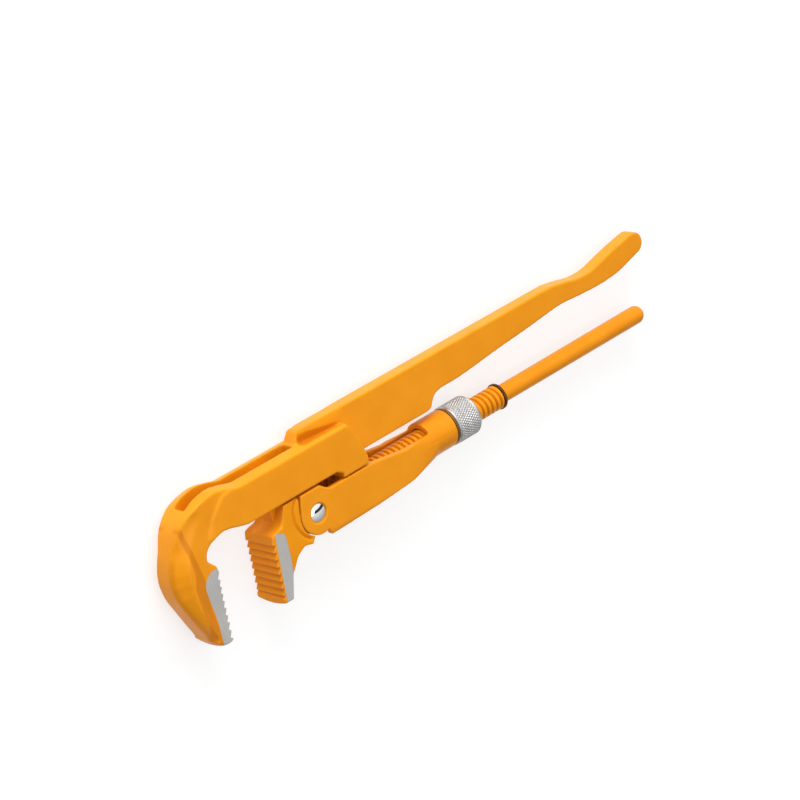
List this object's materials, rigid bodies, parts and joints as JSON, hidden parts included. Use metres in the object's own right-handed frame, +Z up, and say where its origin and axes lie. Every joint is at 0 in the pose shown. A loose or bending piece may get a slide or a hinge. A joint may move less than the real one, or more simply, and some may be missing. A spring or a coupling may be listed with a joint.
{
  "type": "pipe wrench",
  "caption": "Right-angled pipe wrench with a hooked jaw on a forged lever and a sliding toothed jaw set by a knurled nut on a threaded leg.",
  "frame": {"origin": "bottom centre of the bounding box, the wrench lying on its side", "axes": "+X from the jaws to the handle ends, +Y from the threaded leg to the lever, +Z up through the thickness"},
  "size_m": [0.415, 0.096, 0.0255],
  "materials": {
    "lever_paint": "glossy orange paint on forged steel",
    "jaw_paint": "orange paint, worn on the teeth, with bare ground sides",
    "pin_steel": "turned steel",
    "rivet_chrome": "polished",
    "nut_steel": "diamond knurl, zinc plated",
    "ring_bronze": "dulled",
    "ring_black": "blackened"
  },
  "bodies": {
    "lever": {"upper_lever": "lever_paint", "leg_pin": "pin_steel"},
    "leg": {"threaded_leg": "lever_paint", "stop_ring": "ring_black"},
    "slider": {"stirrup": "lever_paint", "jaw_rivet": "rivet_chrome", "nut_retaining_ring": "ring_bronze"},
    "jaw": {"lower_jaw": "jaw_paint"},
    "nut": {"adjusting_nut": "nut_steel"}
  },
  "joints": [
    {"name": "leg_swing", "type": "hinge", "parent": "lever", "child": "leg", "pos_m": [-0.06589, -0.00559, 0.01275], "axis": [0, 0, 1], "range_deg": [-0.7, 3.5]},
    {"name": "stirrup_slide", "type": "slide", "parent": "leg", "child": "slider", "axis": [1, 0, 0], "range_m": [-0.038, 0.011]},
    {"name": "nut_spin", "type": "hinge", "parent": "slider", "child": "nut", "pos_m": [0.02771, -0.00559, 0.01275], "axis": [1, 0, 0], "range_deg": [-3421, 991]},
    {"name": "jaw_pivot", "type": "hinge", "parent": "slider", "child": "jaw", "pos_m": [-0.10009, -0.00559, 0.01275], "axis": [0, 0, 1], "range_deg": [-3.6, 0.8]}
  ],
  "couplings": [
    {"joint": "nut_spin", "follows": "stirrup_slide", "rad_per_m": 1570.8},
    {"joint": "jaw_pivot", "follows": "leg_swing", "ratio": -1}
  ]
}
